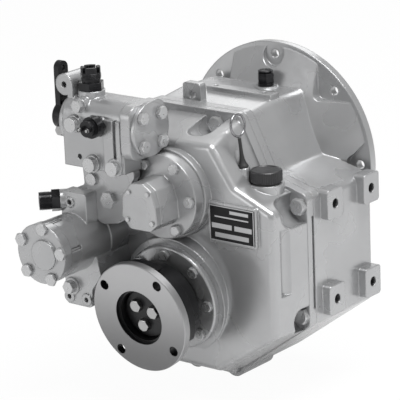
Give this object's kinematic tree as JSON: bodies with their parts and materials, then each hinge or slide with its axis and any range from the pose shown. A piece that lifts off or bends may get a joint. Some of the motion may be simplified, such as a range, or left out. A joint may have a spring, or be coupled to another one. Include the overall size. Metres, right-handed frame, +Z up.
{
  "type": "marine gearbox",
  "caption": "Two-shaft hydraulic reversing gearbox with a round engine flange, side pads, top control valve, side filter and a down-angle output coupling.",
  "frame": {"origin": "centre of the engine-side mounting face, on the input shaft axis", "axes": "+X starboard, +Y forward to the engine, +Z up"},
  "size_m": [0.29, 0.3382, 0.377],
  "materials": {
    "casting": "semi-gloss silver-grey paint",
    "painted_fastener": "semi-gloss silver-grey paint",
    "machined_steel": "machined",
    "gear_steel": "ground",
    "bearing_steel": "ground",
    "zinc_fastener": "zinc plated",
    "friction_lining": "sintered",
    "black_fitting": "black phosphate",
    "black_plastic": "satin moulded",
    "rubber": "matte",
    "plate": "printed",
    "wire": "bright",
    "filter_paper": "pleated paper"
  },
  "bodies": {
    "casing": {"main_housing": "casting", "rear_housing": "casting", "housing_bolts": "painted_fastener", "dowel_pins": "gear_steel", "output_bearing_cover": "casting", "output_cover_bolts": "painted_fastener", "output_oil_seal": "rubber", "input_oil_seal": "rubber", "input_bearing_cups": "bearing_steel", "counter_bearing_cups": "bearing_steel", "output_bearing_cups": "bearing_steel", "pump_body": "casting", "pump_cover": "casting", "pump_cover_screws": "painted_fastener", "pump_mounting_bolts": "painted_fastener", "valve_body": "casting", "valve_end_cover": "casting", "valve_cover_bolts": "painted_fastener", "pressure_sensor": "black_fitting", "hydraulic_adapter": "black_fitting", "valve_base": "casting", "filter_housing": "casting", "filter_end_cap": "casting", "filter_cap_bolts": "painted_fastener", "filter_element": "filter_paper", "oil_plugs": "painted_fastener", "oil_line_fitting": "black_fitting", "breather": "black_fitting", "drain_plug": "painted_fastener", "name_plate": "plate", "name_plate_rivets": "zinc_fastener"},
    "input_train": {"input_shaft": "gear_steel", "input_gear_drum": "gear_steel", "ahead_steel_plates": "bearing_steel", "input_bearing_cones": "bearing_steel", "pump_drive_gear": "gear_steel"},
    "ahead_clutch_piston": {"ahead_piston": "gear_steel"},
    "counter_train": {"countershaft": "gear_steel", "counter_gear_drum": "gear_steel", "astern_steel_plates": "bearing_steel", "counter_bearing_cones": "bearing_steel"},
    "astern_clutch_piston": {"astern_piston": "gear_steel"},
    "ahead_pinion_set": {"ahead_pinion": "gear_steel", "ahead_friction_plates": "friction_lining"},
    "astern_pinion_set": {"astern_pinion": "gear_steel", "astern_friction_plates": "friction_lining"},
    "output_train": {"output_shaft": "gear_steel", "bull_gear": "gear_steel", "output_coupling": "machined_steel", "coupling_washer": "machined_steel", "coupling_bolts": "zinc_fastener", "output_bearing_cones": "bearing_steel"},
    "pump_idler": {"pump_driven_gear": "gear_steel"},
    "selector": {"shift_lever": "black_fitting", "lever_clamp_bolt": "zinc_fastener", "selector_spool": "gear_steel"},
    "dipstick_set": {"dipstick": "wire", "dipstick_stopper": "rubber"},
    "filler_seal": {"filler_gasket": "rubber"},
    "filler_lid": {"filler_cap": "black_plastic"}
  },
  "joints": [
    {"name": "input_spin", "type": "hinge", "parent": "casing", "child": "input_train", "pos_m": [0, 0, 0], "axis": [0, 1, 0], "continuous": true},
    {"name": "counter_spin", "type": "hinge", "parent": "casing", "child": "counter_train", "pos_m": [-0.07272, 0, -0.02822], "axis": [0, 1, 0], "continuous": true},
    {"name": "pump_idler_spin", "type": "hinge", "parent": "casing", "child": "pump_idler", "pos_m": [0, 0, -0.014], "axis": [0, 1, 0], "continuous": true},
    {"name": "output_spin", "type": "hinge", "parent": "casing", "child": "output_train", "pos_m": [0, -0.2719, -0.1253], "axis": [0, 0.9925, 0.1219], "continuous": true},
    {"name": "ahead_pinion_spin", "type": "hinge", "parent": "casing", "child": "ahead_pinion_set", "pos_m": [0, 0, 0], "axis": [0, 1, 0], "continuous": true},
    {"name": "astern_pinion_spin", "type": "hinge", "parent": "casing", "child": "astern_pinion_set", "pos_m": [-0.07272, 0, -0.02822], "axis": [0, 1, 0], "continuous": true},
    {"name": "ahead_clutch_stroke", "type": "slide", "parent": "input_train", "child": "ahead_clutch_piston", "axis": [0, -1, 0], "range_m": [0, 0.0015]},
    {"name": "astern_clutch_stroke", "type": "slide", "parent": "counter_train", "child": "astern_clutch_piston", "axis": [0, -1, 0], "range_m": [0, 0.0015]},
    {"name": "selector_turn", "type": "hinge", "parent": "casing", "child": "selector", "pos_m": [-0.118, -0.231, 0.077], "axis": [1, 0, 0], "range_deg": [-30, 30]},
    {"name": "dipstick_pull", "type": "slide", "parent": "casing", "child": "dipstick_set", "axis": [-0.1219, 0, 0.9925], "range_m": [0, 0.2]},
    {"name": "filler_lift", "type": "slide", "parent": "casing", "child": "filler_seal", "axis": [0, 0, 1], "range_m": [0, 0.0061]},
    {"name": "filler_turn", "type": "hinge", "parent": "filler_seal", "child": "filler_lid", "pos_m": [0.0915, -0.155, 0.0125], "axis": [0, 0, 1], "range_deg": [0, 720]}
  ],
  "couplings": [
    {"joint": "counter_spin", "follows": "input_spin", "ratio": -1},
    {"joint": "pump_idler_spin", "follows": "input_spin", "ratio": -1},
    {"joint": "ahead_pinion_spin", "follows": "output_spin", "ratio": -2.3125},
    {"joint": "astern_pinion_spin", "follows": "output_spin", "ratio": -2.3125},
    {"joint": "filler_lift", "follows": "filler_turn", "m_per_rad": 0.00047746}
  ]
}
